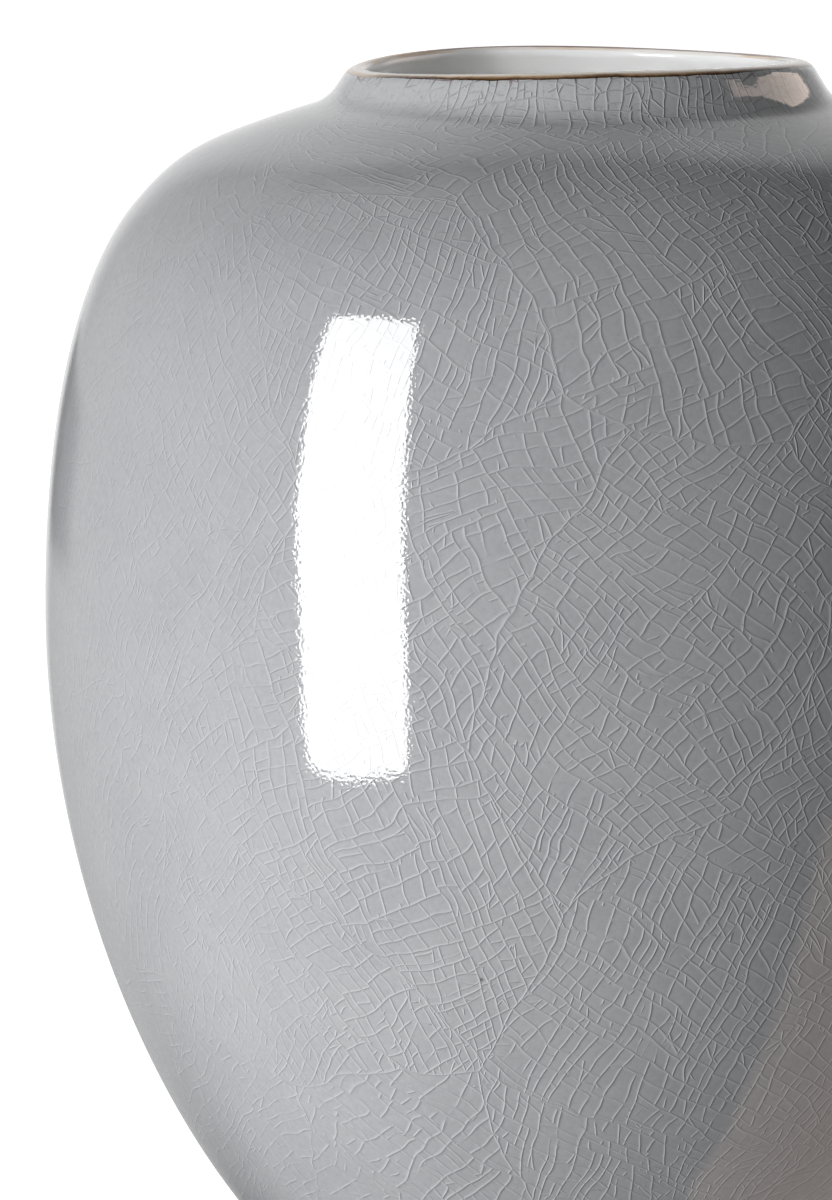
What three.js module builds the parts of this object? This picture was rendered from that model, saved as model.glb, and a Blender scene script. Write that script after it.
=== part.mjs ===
// Floor vase with a crackle glaze, a short conical neck and a brown lip.
// Millimetres, +Z up. The origin is on the axis, on the floor that the vase stands on.

import * as THREE from "three";

// Overall form
const overallHeight = 500; // floor to the mean height of the lip
const bellyRadius = 210; // widest point of the vase
const bellyHeight = 284; // height of the widest point
const footRadius = 99; // lower edge of the glazed wall
const mouthRadius = 82.6; // narrowest point inside the lip

// Shoulder, neck and foot curves
const shoulderInset = 36.3; // from the belly radius to the turn of the shoulder
const shoulderDrop = 55; // from the lip down to the turn of the shoulder
const shoulderSlope = radians(49.8); // of the wall at that turn, above the horizontal
const shoulderEndSlope = radians(19.2); // of the wall where it meets the neck
const neckHeight = 15; // from the lip down to the corner of shoulder and neck
const neckSlope = radians(58.4); // of the conical neck, above the horizontal
const neckFillet = 19; // radius in the corner of shoulder and neck
const footSlope = radians(30); // of the wall where it leaves the foot

// Fullness of the curves: each pull is a share of the chord between the ends of its curve
const pulls = {
  foot: 0.174,
  underBelly: 0.455,
  overBelly: 0.689,
  underShoulder: 0.083,
  overShoulder: 0.371,
  neck: 0.539,
};

// Wall and coats
const wallThickness = 8.4; // clay and both coats together
const coatThickness = 0.9; // glaze, liner and lip wash
const bondGap = 0.3; // clearance of a coat to its clay, and of a luted joint
const lipInnerRound = 3; // radius of the inner edge of the lip
const lipWashOutside = 5.5; // reach of the brown wash from the crest down the outside
const lipWashInside = 3; // and down the inside
const floorThickness = 8.4; // of the bottom inside the foot, with its liner

// Luted joints
const bellyLap = 5; // height of the tongue in the belly joint
const collarFlange = 14; // from the corner of the neck out to the collar joint
const collarLap = 6; // width of the step in the collar joint
const footRegister = 2; // depth of the bottom's boss inside the foot ring

// Foot ring and felt pads
const padThickness = 2;
const padRadius = 5.5;
const padCount = 4;
const ringHeight = 12; // from the pads up to the underside of the body
const ringInset = 2; // of the foot ring from the glazed edge
const ringWidth = 14;
const ringChamfer = 1.5;

// Unevenness of the thrown lip: each wave has its crests round the lip, its height and its bearing
const lipWaves = [
  { crests: 1, height: 1.1, bearing: radians(-18) },
  { crests: 2, height: 1.2, bearing: radians(-67) },
  { crests: 3, height: 0.3, bearing: radians(5) },
];
const waveReach = 22; // from the lip down to where the unevenness has died out
const waveCrown = 3; // depth below the lip that moves with it in full

// Steps along the curves and round the axis
const turns = 48;
const padTurns = 24;
const steps = { lower: 8, upper: 5, shoulder: 4, fillet: 2, lip: 3 };

function radians(degrees) {
  return THREE.MathUtils.degToRad(degrees);
}

// Points of the plane through the axis: x is the radius and y is the height

function point(radius, height) {
  return new THREE.Vector2(radius, height);
}

// Unit vector of a wall that rises towards the axis at a slope
function inward(slope) {
  return point(-Math.cos(slope), Math.sin(slope));
}

// Outward normal of the same wall
function outward(slope) {
  return point(Math.sin(slope), Math.cos(slope));
}

// Curve between two points whose handles follow the wall's direction at each end
function wallCurve(start, startDirection, startPull, end, endDirection, endPull, count) {
  const chord = start.distanceTo(end);
  const curve = new THREE.CubicBezierCurve(
    start,
    start.clone().addScaledVector(startDirection, startPull * chord),
    end.clone().addScaledVector(endDirection, -endPull * chord),
    end,
  );
  return curve.getPoints(count);
}

function arc(centre, radius, startAngle, endAngle, count) {
  const clockwise = endAngle < startAngle;
  const curve = new THREE.EllipseCurve(
    centre.x, centre.y, radius, radius, startAngle, endAngle, clockwise);
  return curve.getPoints(count);
}

// One line through several stretches, with each shared end kept once
function joined(...stretches) {
  const line = [];
  for (const stretch of stretches) {
    for (const next of stretch) {
      const last = line[line.length - 1];
      if (!last || last.distanceTo(next) > 1e-6) line.push(next.clone());
    }
  }
  return line;
}

// The same line moved sideways, to the left of its direction, by a distance
function offset(line, distance) {
  return line.map((here, i) => {
    const before = line[Math.max(i - 1, 0)];
    const after = line[Math.min(i + 1, line.length - 1)];
    const arriving = (i > 0 ? here.clone().sub(before) : after.clone().sub(here)).normalize();
    const leaving = (i < line.length - 1 ? after.clone().sub(here) : arriving.clone()).normalize();
    const along = arriving.clone().add(leaving).normalize();
    const side = point(-along.y, along.x);
    return here.clone().addScaledVector(side, distance / along.dot(arriving));
  });
}

function lengthOf(line) {
  return line.slice(1).reduce((sum, here, i) => sum + here.distanceTo(line[i]), 0);
}

// Length along a line, past a start, at which its radius (x) or height (y) first reaches a value
function reach(line, key, value, start = 0) {
  let run = 0;
  for (let i = 1; i < line.length; i++) {
    const [a, b] = [line[i - 1], line[i]];
    const share = (value - a[key]) / (b[key] - a[key]);
    const found = run + a.distanceTo(b) * share;
    if (share >= 0 && share <= 1 && found >= start) return found;
    run += a.distanceTo(b);
  }
  throw new Error(`the wall never reaches ${key} = ${value}`);
}

function at(line, length) {
  return between(line, length, Infinity)[0];
}

// Part of a line between two lengths, which are measured along it or along the line it was offset from
function between(line, from, to, measured = line) {
  const part = [];
  let run = 0;
  for (let i = 1; i < line.length; i++) {
    const [a, b] = [line[i - 1], line[i]];
    const step = measured[i - 1].distanceTo(measured[i]);
    const enter = (from - run) / step;
    const leave = (to - run) / step;
    if (enter < 1 && leave > 0) {
      part.push(a.clone().lerp(b, Math.max(enter, 0)));
      part.push(a.clone().lerp(b, Math.min(leave, 1)));
    }
    run += step;
  }
  return joined(part);
}

// Height of the lip above its mean at a bearing, and how much of it is felt at a height
function lipWave(bearing, height) {
  const depth = overallHeight - height;
  const share = THREE.MathUtils.smoothstep(waveReach - depth, 0, waveReach - waveCrown);
  const wave = lipWaves.reduce(
    (sum, w) => sum + w.height * Math.cos(w.crests * (bearing - w.bearing)), 0);
  return share * wave;
}

// Solid of revolution of a profile that runs anticlockwise, with the lip's unevenness
function thrown(profile) {
  const geometry = new THREE.LatheGeometry(profile, turns);
  geometry.rotateX(Math.PI / 2);
  const places = geometry.attributes.position;
  for (let i = 0; i < places.count; i++) {
    const bearing = Math.atan2(places.getY(i), places.getX(i));
    const height = places.getZ(i);
    places.setZ(i, height + lipWave(bearing, height));
  }
  return geometry;
}

function closed(profile) {
  return [...profile, profile[0].clone()];
}

// Wall of the vase from the foot up the outside, over the lip and down to the middle of the floor

const seatHeight = padThickness + ringHeight;
const crestRadius = mouthRadius + lipInnerRound;
const lipOuterRound =
  (wallThickness - lipInnerRound * (1 + Math.cos(neckSlope))) / (1 - Math.cos(neckSlope));
const outerRoundCentre = point(crestRadius, overallHeight - lipOuterRound);
const innerRoundCentre = point(crestRadius, overallHeight - lipInnerRound);

const neckTop = outerRoundCentre.clone().addScaledVector(outward(neckSlope), lipOuterRound);
const cornerHeight = overallHeight - neckHeight;
const corner = point(
  neckTop.x + (neckTop.y - cornerHeight) / Math.tan(neckSlope), cornerHeight);

const filletRun = neckFillet * Math.tan((neckSlope - shoulderEndSlope) / 2);
const filletStart = corner.clone().addScaledVector(inward(shoulderEndSlope), -filletRun);
const filletCentre = filletStart.clone().addScaledVector(outward(shoulderEndSlope), neckFillet);

const footPoint = point(footRadius, seatHeight);
const bellyPoint = point(bellyRadius, bellyHeight);
const shoulderPoint = point(bellyRadius - shoulderInset, overallHeight - shoulderDrop);
const up = point(0, 1);

const outerWall = joined(
  wallCurve(footPoint, point(Math.cos(footSlope), Math.sin(footSlope)), pulls.foot,
    bellyPoint, up, pulls.underBelly, steps.lower),
  wallCurve(bellyPoint, up, pulls.overBelly,
    shoulderPoint, inward(shoulderSlope), pulls.underShoulder, steps.upper),
  wallCurve(shoulderPoint, inward(shoulderSlope), pulls.overShoulder,
    filletStart, inward(shoulderEndSlope), pulls.neck, steps.shoulder),
  arc(filletCentre, neckFillet,
    -Math.PI / 2 - shoulderEndSlope, -Math.PI / 2 - neckSlope, steps.fillet),
  arc(outerRoundCentre, lipOuterRound, Math.PI / 2 - neckSlope, Math.PI / 2, steps.lip),
);

const floorHeight = seatHeight + floorThickness;
const belowFoot = footPoint.clone().add(
  point(-Math.cos(footSlope), -Math.sin(footSlope)).multiplyScalar(wallThickness + floorThickness));
const insideOfBody = offset([belowFoot, ...outerWall.slice(0, -steps.lip)], wallThickness).reverse();
const innerWall = joined(
  arc(innerRoundCentre, lipInnerRound, Math.PI / 2, Math.PI * 3 / 2 - neckSlope, steps.lip),
  between(insideOfBody, 0, reach(insideOfBody, "y", floorHeight)),
  [point(0, floorHeight)],
);

const wall = joined(outerWall, innerWall);
const crestRun = lengthOf(outerWall);
const washStart = crestRun - lipWashOutside;
const washEnd = crestRun + lipWashInside;

// Profile of a coat over a stretch of the wall, from its shown side to the side on the clay
function coat(from, to) {
  const shown = between(wall, from, to);
  const hidden = between(offset(wall, coatThickness), from, to, wall).reverse();
  const endsOnAxis = shown[shown.length - 1].x < 1e-9;
  return endsOnAxis ? [...hidden, ...shown] : closed([...shown, ...hidden]);
}

// Clay under the coats, thrown in sections that are luted together

const clay = offset(wall, coatThickness + bondGap);
const clayCrest = reach(clay, "x", crestRadius, reach(clay, "y", cornerHeight));

const outerBelly = reach(clay, "y", bellyHeight);
const collarSeat = corner.x + collarFlange;
const outerCollar = reach(clay, "x", collarSeat, outerBelly);
const innerCollar = reach(clay, "x", collarSeat - collarLap, clayCrest);
const innerBelly = reach(clay, "y", bellyHeight + bellyLap, innerCollar);
const bellyMiddle = (at(clay, outerBelly).x + at(clay, innerBelly).x) / 2;
const collarMiddle = (at(clay, outerCollar).y + at(clay, innerCollar).y) / 2;

const ringRadius = footRadius - ringInset;
const ringBore = ringRadius - ringWidth;
const bossRadius = ringBore - bondGap;
const bossHeight = seatHeight - footRegister;

const lowerBody = [
  point(0, bossHeight),
  point(bossRadius, bossHeight),
  point(bossRadius, seatHeight),
  point(ringRadius, seatHeight),
  ...between(clay, 0, outerBelly),
  point(bellyMiddle, bellyHeight),
  point(bellyMiddle, bellyHeight + bellyLap),
  ...between(clay, innerBelly, Infinity),
];

const upperBody = closed([
  ...between(clay, reach(clay, "y", bellyHeight + bondGap), outerCollar),
  point(collarSeat, collarMiddle),
  point(collarSeat - collarLap, collarMiddle),
  ...between(clay, innerCollar, reach(clay, "y", bellyHeight + bellyLap + bondGap, innerCollar)),
  point(bellyMiddle + bondGap, bellyHeight + bellyLap + bondGap),
  point(bellyMiddle + bondGap, bellyHeight + bondGap),
]);

const collarEdge = collarSeat - bondGap;
const collarFoot = collarMiddle + bondGap;
const neckCollar = closed([
  ...between(clay, reach(clay, "x", collarEdge, outerBelly),
    reach(clay, "x", collarEdge - collarLap, clayCrest)),
  point(collarEdge - collarLap, collarFoot),
  point(collarEdge, collarFoot),
]);

const footRing = closed([
  point(ringBore, padThickness + ringChamfer),
  point(ringBore + ringChamfer, padThickness),
  point(ringRadius - ringChamfer, padThickness),
  point(ringRadius, padThickness + ringChamfer),
  point(ringRadius, seatHeight - bondGap),
  point(ringBore, seatHeight - bondGap),
]);

const baseGlaze = [
  point(0, bossHeight - bondGap - coatThickness),
  point(bossRadius, bossHeight - bondGap - coatThickness),
  point(bossRadius, bossHeight - bondGap),
  point(0, bossHeight - bondGap),
];

// Materials

function material(color, roughness) {
  return new THREE.MeshStandardMaterial({ color, roughness, metalness: 0 });
}

function stoneware() {
  return material("#c9b79c", 0.85);
}

function greyGlaze() {
  return material("#b3b5b9", 0.08);
}

function whiteGlaze() {
  return material("#dfdfdb", 0.12);
}

function ironWash() {
  return material("#b08a62", 0.25);
}

function felt() {
  return material("#6f6a64", 0.95);
}

// Assembly

const vase = new THREE.Group();

function add(name, geometry, finish) {
  const mesh = new THREE.Mesh(geometry, finish);
  mesh.name = name;
  vase.add(mesh);
  return mesh;
}

add("foot_ring", thrown(footRing), stoneware());
add("lower_body", thrown(lowerBody), stoneware());
add("upper_body", thrown(upperBody), stoneware());
add("neck_collar", thrown(neckCollar), stoneware());
add("crackle_glaze", thrown(coat(0, washStart)), greyGlaze());
add("lip_wash", thrown(coat(washStart + bondGap, washEnd)), ironWash());
add("liner_glaze", thrown(coat(washEnd + bondGap, Infinity)), whiteGlaze());
add("base_glaze", thrown(baseGlaze), whiteGlaze());

const padCircle = ringRadius - ringWidth / 2;
for (let i = 0; i < padCount; i++) {
  const bearing = (i + 0.5) * 2 * Math.PI / padCount;
  const disc = new THREE.CylinderGeometry(padRadius, padRadius, padThickness, padTurns);
  const pad = add(`felt_pad_${i + 1}`, disc.rotateX(Math.PI / 2), felt());
  pad.position.set(
    padCircle * Math.cos(bearing), padCircle * Math.sin(bearing), padThickness / 2);
}

export default vase;
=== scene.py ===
import math

import bmesh
import bpy
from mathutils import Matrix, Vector


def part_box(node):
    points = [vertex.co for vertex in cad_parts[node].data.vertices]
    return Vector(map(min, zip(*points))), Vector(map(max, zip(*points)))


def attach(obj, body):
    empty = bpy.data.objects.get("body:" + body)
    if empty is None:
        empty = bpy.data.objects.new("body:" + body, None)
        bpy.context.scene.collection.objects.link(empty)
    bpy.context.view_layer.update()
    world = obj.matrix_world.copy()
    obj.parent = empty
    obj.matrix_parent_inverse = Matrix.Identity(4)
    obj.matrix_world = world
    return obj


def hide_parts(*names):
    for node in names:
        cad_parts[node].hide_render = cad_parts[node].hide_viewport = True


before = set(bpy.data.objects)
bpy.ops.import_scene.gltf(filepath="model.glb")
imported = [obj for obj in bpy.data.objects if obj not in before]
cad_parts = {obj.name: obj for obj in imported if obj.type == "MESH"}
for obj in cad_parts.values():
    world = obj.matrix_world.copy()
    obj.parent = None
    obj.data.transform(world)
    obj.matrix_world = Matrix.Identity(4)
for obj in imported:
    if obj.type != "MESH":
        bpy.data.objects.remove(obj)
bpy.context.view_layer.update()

# Form of the wall, in metres: the same driving sizes as the construction
lip_height = 0.500
belly_radius = 0.210
belly_height = 0.284
foot_radius = 0.099
mouth_radius = 0.0826
seat_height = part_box("crackle_glaze")[0].z
shoulder_inset = 0.0363
shoulder_drop = 0.055
shoulder_slope = math.radians(49.8)
shoulder_end_slope = math.radians(19.2)
neck_height = 0.015
neck_slope = math.radians(58.4)
neck_fillet = 0.019
foot_slope = math.radians(30)
pulls = {
    "foot": 0.174,
    "under_belly": 0.455,
    "over_belly": 0.689,
    "under_shoulder": 0.083,
    "over_shoulder": 0.371,
    "neck": 0.539,
}
wall_thickness = 0.0084
floor_thickness = 0.0084
lip_inner_round = 0.003
bond_gap = 0.0003

# Foot ring, glazed recess and felt pads
ring_radius = 0.097
ring_bore = 0.083
ring_round = 0.0015
ring_top_round = 0.0004
boss_depth = 0.002
ring_groove_depth = 0.0003
ring_groove_rise = 0.55
pad_thickness = 0.002
pad_radius = 0.0055
pad_round = 0.00035
pad_circle = (ring_radius + ring_bore) / 2

# Coats of glaze
coat_thickness = 0.0009
coat_gap = 0.00006
wash_outside = 0.0055
wash_inside = 0.003

# Unevenness of the thrown lip: crests round the lip, height and bearing of each wave
lip_waves = [
    (1, 0.0011, math.radians(-18)),
    (2, 0.0012, math.radians(-67)),
    (3, 0.0003, math.radians(5)),
]
wave_reach = 0.022
wave_crown = 0.003

# Wander of the brown wash's outer edge: crests round the lip, reach and start of each wave
brush_waves = [
    (3, 0.00045, 3.1),
    (7, 0.00030, 5.6),
    (17, 0.00016, 0.9),
    (31, 0.00013, 1.7),
    (53, 0.00007, 0.4),
    (89, 0.00006, 2.6),
]
wander_fade = 0.006

# Fineness of the meshes. A coat's hidden side takes one point in three of the shown side.
turns = 240
lower_steps = 54
upper_steps = 30
shoulder_steps = 22
fillet_steps = 8
lip_steps = 12
hidden_step = 3
edge_steps = 6
top_edge_steps = 4
pad_sides = 48
pad_round_steps = 3
sharp_angle = math.radians(50)

# Lengths below which two points, runs or vertices count as one, and a shift as none
same_point = 1e-8
same_run = 1e-5
same_vertex = 1e-6
no_shift = 1e-7

# Camera, in the photograph's frame of 832 by 1200 pixels
camera_place = Vector((0.0, -2.600, 0.671))
camera_pitch = math.radians(8.40)
camera_yaw = math.radians(1.4045)
camera_lens = 199.46
camera_sensor = 36.0
camera_reach = 100.0


def smoothstep(low, high, value):
    share = min(max((value - low) / (high - low), 0.0), 1.0)
    return share * share * (3 - 2 * share)


# Points of the plane through the axis: x is the radius and y is the height


def inward(slope):
    return Vector((-math.cos(slope), math.sin(slope)))


def outward(slope):
    return Vector((math.sin(slope), math.cos(slope)))


def wall_curve(start, start_direction, start_pull, end, end_direction, end_pull, count):
    chord = (end - start).length
    handle_a = start + start_direction * start_pull * chord
    handle_b = end - end_direction * end_pull * chord
    line = []
    for i in range(count + 1):
        t = i / count
        s = 1 - t
        line.append(
            start * s**3 + handle_a * 3 * s * s * t + handle_b * 3 * s * t * t + end * t**3)
    return line


def arc(centre, radius, start_angle, end_angle, count):
    line = []
    for i in range(count + 1):
        angle = start_angle + (end_angle - start_angle) * i / count
        line.append(centre + radius * Vector((math.cos(angle), math.sin(angle))))
    return line


def joined(*stretches):
    line = []
    for stretch in stretches:
        for place in stretch:
            if not line or (line[-1] - place).length > same_point:
                line.append(place.copy())
    return line


def offset(line, distance):
    moved = []
    for i, here in enumerate(line):
        before = line[max(i - 1, 0)]
        after = line[min(i + 1, len(line) - 1)]
        arriving = (here - before if i > 0 else after - here).normalized()
        leaving = (after - here).normalized() if i < len(line) - 1 else arriving
        along = (arriving + leaving).normalized()
        side = Vector((-along.y, along.x))
        moved.append(here + side * distance / along.dot(arriving))
    return moved


def wall_line():
    """The wall's shown side: up the outside, over the lip and down to the middle of the floor."""
    crest_radius = mouth_radius + lip_inner_round
    outer_round = (wall_thickness - lip_inner_round * (1 + math.cos(neck_slope))) / (
        1 - math.cos(neck_slope))
    outer_centre = Vector((crest_radius, lip_height - outer_round))
    inner_centre = Vector((crest_radius, lip_height - lip_inner_round))
    neck_top = outer_centre + outward(neck_slope) * outer_round
    corner_height = lip_height - neck_height
    corner = Vector((
        neck_top.x + (neck_top.y - corner_height) / math.tan(neck_slope), corner_height))
    fillet_run = neck_fillet * math.tan((neck_slope - shoulder_end_slope) / 2)
    fillet_start = corner - inward(shoulder_end_slope) * fillet_run
    fillet_centre = fillet_start + outward(shoulder_end_slope) * neck_fillet

    foot = Vector((foot_radius, seat_height))
    foot_direction = Vector((math.cos(foot_slope), math.sin(foot_slope)))
    belly = Vector((belly_radius, belly_height))
    shoulder = Vector((belly_radius - shoulder_inset, lip_height - shoulder_drop))
    up = Vector((0.0, 1.0))

    outer = joined(
        wall_curve(foot, foot_direction, pulls["foot"],
                   belly, up, pulls["under_belly"], lower_steps),
        wall_curve(belly, up, pulls["over_belly"],
                   shoulder, inward(shoulder_slope), pulls["under_shoulder"], upper_steps),
        wall_curve(shoulder, inward(shoulder_slope), pulls["over_shoulder"],
                   fillet_start, inward(shoulder_end_slope), pulls["neck"], shoulder_steps),
        arc(fillet_centre, neck_fillet, -math.pi / 2 - shoulder_end_slope,
            -math.pi / 2 - neck_slope, fillet_steps),
        arc(outer_centre, outer_round, math.pi / 2 - neck_slope, math.pi / 2, lip_steps),
    )
    floor_height = seat_height + floor_thickness
    below_foot = foot - foot_direction * (wall_thickness + floor_thickness)
    body_side = offset([below_foot] + outer[:-lip_steps], wall_thickness)
    body_side.reverse()
    inner = joined(
        arc(inner_centre, lip_inner_round, math.pi / 2,
            math.pi * 3 / 2 - neck_slope, lip_steps),
        above(body_side, floor_height),
        [Vector((0.0, floor_height))],
    )
    return joined(outer, inner), length_of(outer)


def above(line, height):
    """The first part of a falling line, down to a height."""
    kept = []
    for here, after in zip(line, line[1:]):
        kept.append(here)
        if after.y <= height:
            kept.append(here.lerp(after, (height - here.y) / (after.y - here.y)))
            break
    return kept


def length_of(line):
    return sum((b - a).length for a, b in zip(line, line[1:]))


def runs_along(line):
    """Length along a line at each of its points."""
    runs = [0.0]
    for a, b in zip(line, line[1:]):
        runs.append(runs[-1] + (b - a).length)
    return runs


wall, crest_run = wall_line()
wall_back = offset(wall, coat_thickness)
wall_runs = runs_along(wall)
wall_end = wall_runs[-1]


def on_line(line, run):
    """The point of a line at a length measured along the shown wall."""
    if run <= 0:
        return line[0].copy()
    low, high = 0, len(wall_runs) - 1
    while high - low > 1:
        middle = (low + high) // 2
        if wall_runs[middle] <= run:
            low = middle
        else:
            high = middle
    span = wall_runs[high] - wall_runs[low]
    return line[low].lerp(line[high], min((run - wall_runs[low]) / span, 1.0))


def lip_wave(bearing, height):
    depth = lip_height - height
    share = smoothstep(0, wave_reach - wave_crown, wave_reach - depth)
    return share * sum(h * math.cos(k * (bearing - b)) for k, h, b in lip_waves)


def brush_edge(bearing):
    """How far the brown wash's outer edge wanders along the wall at a bearing."""
    return sum(reach * math.sin(crests * bearing + start) for crests, reach, start in brush_waves)


# Meshes


def new_piece(name, bm):
    mesh = bpy.data.meshes.new(name)
    bmesh.ops.recalc_face_normals(bm, faces=bm.faces)
    for face in bm.faces:
        face.smooth = True
    bm.to_mesh(mesh)
    bm.free()
    mesh.set_sharp_from_angle(angle=sharp_angle)
    piece = bpy.data.objects.new(name, mesh)
    bpy.context.scene.collection.objects.link(piece)
    return piece


def spun(profile, closed):
    """A solid of revolution round the vase's axis, from (radius, height, run) points."""
    bm = bmesh.new()
    run_layer = bm.verts.layers.float.new("wall_run")
    line = []
    for radius, height, run in profile:
        vert = bm.verts.new((radius, 0.0, height))
        vert[run_layer] = run
        line.append(vert)
    edges = [bm.edges.new(pair) for pair in zip(line, line[1:])]
    if closed:
        edges.append(bm.edges.new((line[-1], line[0])))
    bmesh.ops.spin(
        bm, geom=line + edges, cent=(0, 0, 0), axis=(0, 0, 1), dvec=(0, 0, 0),
        angle=2 * math.pi, steps=turns, use_merge=True, use_normal_flip=False,
        use_duplicate=False)
    bmesh.ops.remove_doubles(bm, verts=bm.verts, dist=same_vertex)
    return bm


def coat(name, start, end, start_wander, end_wander):
    """A shell of glaze over a stretch of the wall. Its ends wander round the vase."""
    inner_runs = [run for run in wall_runs if start + same_run < run < end - same_run]
    runs = [start] + inner_runs + [end]
    hidden_runs = runs[::hidden_step]
    if hidden_runs[-1] < end:
        hidden_runs.append(end)
    shown = [(run, False) for run in runs]
    hidden = [(run, True) for run in reversed(hidden_runs)]
    on_axis = end >= wall_end
    profile = []
    for run, is_hidden in (hidden + shown) if on_axis else (shown + hidden):
        place = on_line(wall_back if is_hidden else wall, run)
        profile.append((max(place.x, 0.0), place.y, run))
    bm = spun(profile, not on_axis)
    run_layer = bm.verts.layers.float["wall_run"]
    for vert in bm.verts:
        run = vert[run_layer]
        radius = math.hypot(vert.co.x, vert.co.y)
        if radius < no_shift:
            continue
        bearing = math.atan2(vert.co.y, vert.co.x)
        near_start = 1 - smoothstep(0, wander_fade, run - start)
        near_end = 1 - smoothstep(0, wander_fade, end - run)
        shift = start_wander(bearing) * near_start + end_wander(bearing) * near_end
        if abs(shift) > no_shift:
            depth = (on_line(wall, run) - Vector((radius, vert.co.z))).length
            place = on_line(wall_back if depth > coat_thickness / 2 else wall, run + shift)
            vert.co.x = place.x * math.cos(bearing)
            vert.co.y = place.x * math.sin(bearing)
            vert.co.z = place.y
        vert.co.z += lip_wave(bearing, vert.co.z)
    return new_piece(name, bm)


def still(bearing):
    """An end that doesn't wander."""
    return 0.0


def make_glaze():
    return coat("glaze_coat", 0.0, crest_run - wash_outside, still, brush_edge)


def make_wash():
    return coat("lip_coat", crest_run - wash_outside + coat_gap, crest_run + wash_inside,
                brush_edge, still)


def make_liner():
    return coat("inside_coat", crest_run + wash_inside + coat_gap, wall_end, still, still)


def spun_outline(line, closed):
    """A spun solid that carries no run along the wall."""
    return spun([(place.x, place.y, 0.0) for place in line], closed)


def make_ring():
    """The unglazed foot ring, with its turned edges rounded."""
    low = pad_thickness
    high = seat_height - bond_gap
    line = joined(
        arc(Vector((ring_bore + ring_round, low + ring_round)), ring_round,
            math.pi, math.pi * 3 / 2, edge_steps),
        arc(Vector((ring_radius - ring_round, low + ring_round)), ring_round,
            -math.pi / 2, 0.0, edge_steps),
        [Vector((ring_radius - ring_groove_depth, low + (high - low) * ring_groove_rise))],
        arc(Vector((ring_radius - ring_top_round, high - ring_top_round)), ring_top_round,
            0.0, math.pi / 2, top_edge_steps),
        arc(Vector((ring_bore + ring_top_round, high - ring_top_round)), ring_top_round,
            math.pi / 2, math.pi, top_edge_steps),
    )
    return new_piece("turned_foot_ring", spun_outline(line, True))


def make_base():
    """The glazed recess inside the foot ring."""
    high = seat_height - boss_depth - bond_gap
    low = high - coat_thickness
    radius = ring_bore - bond_gap
    edge_round = coat_thickness / 2
    edge_centre = Vector((radius - edge_round, low + edge_round))
    line = joined(
        [Vector((0.0, low)), Vector((radius / 2, low))],
        arc(edge_centre, edge_round, -math.pi / 2, math.pi / 2, edge_steps),
        [Vector((radius / 2, high)), Vector((0.0, high))],
    )
    return new_piece("recess_coat", spun_outline(line, False))


def make_pad(number):
    """A felt pad under the foot ring, with a soft cut edge."""
    bearing = (number - 0.5) * math.pi / 2
    place = Vector((
        pad_circle * math.cos(bearing), pad_circle * math.sin(bearing), pad_thickness / 2))
    bm = bmesh.new()
    bmesh.ops.create_cone(
        bm, cap_ends=True, segments=pad_sides, radius1=pad_radius, radius2=pad_radius,
        depth=pad_thickness)
    rims = [edge for edge in bm.edges if abs(edge.verts[0].co.z - edge.verts[1].co.z) < same_vertex]
    bmesh.ops.bevel(
        bm, geom=rims, offset=pad_round, segments=pad_round_steps, affect="EDGES", profile=0.5,
        material=-1)
    bmesh.ops.translate(bm, verts=bm.verts, vec=place)
    return new_piece(f"round_felt_pad_{number}", bm)


# Materials


def new_material(name):
    material = bpy.data.materials.new(name)
    material.use_nodes = True
    tree = material.node_tree
    shader = tree.nodes["Principled BSDF"]
    return material, tree, shader


def plug(tree, socket, value):
    if isinstance(value, bpy.types.NodeSocket):
        tree.links.new(value, socket)
    else:
        socket.default_value = value


def maths(tree, operation, *values):
    node = tree.nodes.new("ShaderNodeMath")
    node.operation = operation
    for socket, value in zip(node.inputs, values):
        plug(tree, socket, value)
    return node.outputs[0]


def vector_maths(tree, operation, *values):
    node = tree.nodes.new("ShaderNodeVectorMath")
    node.operation = operation
    for socket, value in zip(node.inputs, values):
        plug(tree, socket, value)
    return node.outputs["Value" if operation in ("DOT_PRODUCT", "DISTANCE", "LENGTH") else "Vector"]


def scaled(tree, vector, factor):
    node = tree.nodes.new("ShaderNodeVectorMath")
    node.operation = "SCALE"
    plug(tree, node.inputs[0], vector)
    plug(tree, node.inputs["Scale"], factor)
    return node.outputs["Vector"]


def parts_of(tree, vector):
    node = tree.nodes.new("ShaderNodeSeparateXYZ")
    plug(tree, node.inputs[0], vector)
    return node.outputs


def remapped(tree, value, low, high, to_low=0.0, to_high=1.0, kind="SMOOTHSTEP"):
    node = tree.nodes.new("ShaderNodeMapRange")
    node.interpolation_type = kind
    for name, given in (("Value", value), ("From Min", low), ("From Max", high),
                        ("To Min", to_low), ("To Max", to_high)):
        plug(tree, node.inputs[name], given)
    return node.outputs["Result"]


def either(tree, choice, first, second):
    return remapped(tree, choice, 0.0, 1.0, first, second, "LINEAR")


def highest(tree, first, *others):
    for value in others:
        first = maths(tree, "MAXIMUM", first, value)
    return first


def mixed(tree, share, first, second):
    node = tree.nodes.new("ShaderNodeMix")
    node.data_type = "RGBA"
    node.clamp_factor = True
    plug(tree, node.inputs["Factor"], share)
    plug(tree, node.inputs["A"], first)
    plug(tree, node.inputs["B"], second)
    return node.outputs["Result"]


def object_place(tree):
    return tree.nodes.new("ShaderNodeTexCoord").outputs["Object"]


def attribute(tree, name):
    node = tree.nodes.new("ShaderNodeAttribute")
    node.attribute_name = name
    return node.outputs["Fac"]


def noise(tree, place, size, detail=2.0, roughness=0.5, output="Fac"):
    node = tree.nodes.new("ShaderNodeTexNoise")
    plug(tree, node.inputs["Vector"], place)
    node.inputs["Scale"].default_value = 1 / size
    node.inputs["Detail"].default_value = detail
    node.inputs["Roughness"].default_value = roughness
    return node.outputs[output]


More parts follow.
